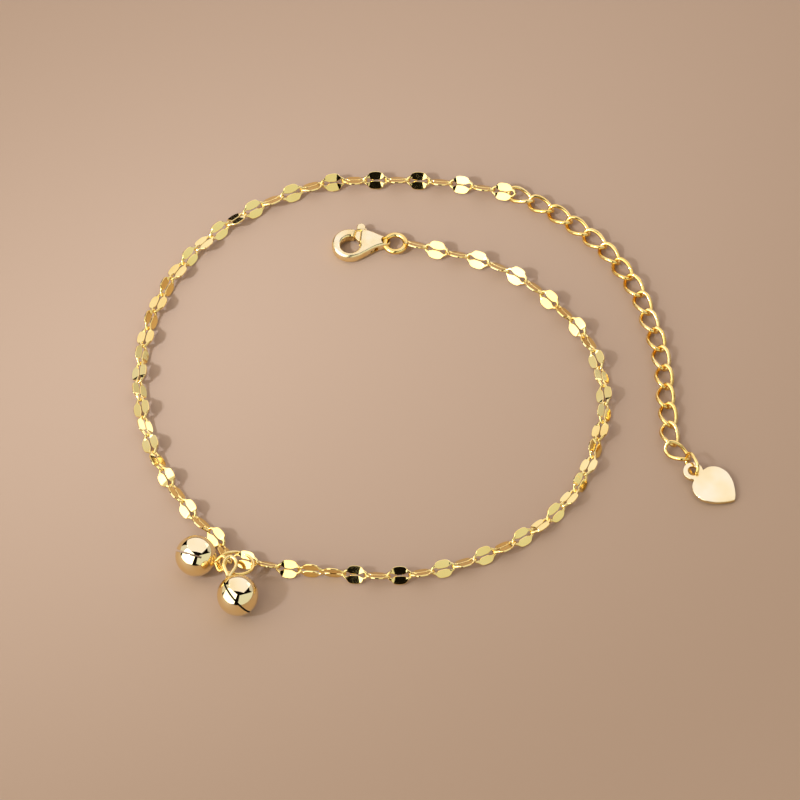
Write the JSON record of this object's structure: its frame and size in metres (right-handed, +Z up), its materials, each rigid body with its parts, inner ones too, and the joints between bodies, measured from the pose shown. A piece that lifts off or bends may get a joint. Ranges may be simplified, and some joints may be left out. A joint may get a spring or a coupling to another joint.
{
  "type": "charm anklet",
  "caption": "Gold-plated lip-chain anklet lying unclasped, with jingle bells on a jump ring, a lobster clasp, a curb-chain extender and a heart tag.",
  "frame": {"origin": "middle of the footprint of the anklet as it lies, on the surface that it lies on", "axes": "+X along the front of the anklet towards the heart tag, +Y away from the bells towards the back of the chain, +Z up"},
  "size_m": [0.0752, 0.0675, 0.0051],
  "materials": {
    "chain_gold": "gold-plated silver, polished links",
    "bell_gold": "gold-plated silver, mirror polished",
    "clasp_gold": "gold-plated silver, tumbled",
    "tag_gold": "gold-plated silver, flat polished"
  },
  "bodies": {
    "anklet": {"lip_chain_left": "chain_gold", "lip_chain_right": "chain_gold", "extender_chain": "chain_gold", "bell_left": "bell_gold", "bell_right": "bell_gold", "bell_ring": "chain_gold", "clasp_body": "clasp_gold", "clasp_pin": "clasp_gold", "clasp_ring": "chain_gold", "tag_link": "chain_gold", "heart_tag": "tag_gold"},
    "lever": {"clasp_lever": "clasp_gold"}
  },
  "joints": [
    {"name": "clasp_lever_hinge", "type": "hinge", "parent": "anklet", "child": "lever", "pos_m": [-0.0077, 0.0225, 0.00075], "axis": [0, 0, -1], "range_deg": [0, 24], "stiffness_Nm_per_rad": 0.0005, "springref_deg": -22.92}
  ]
}
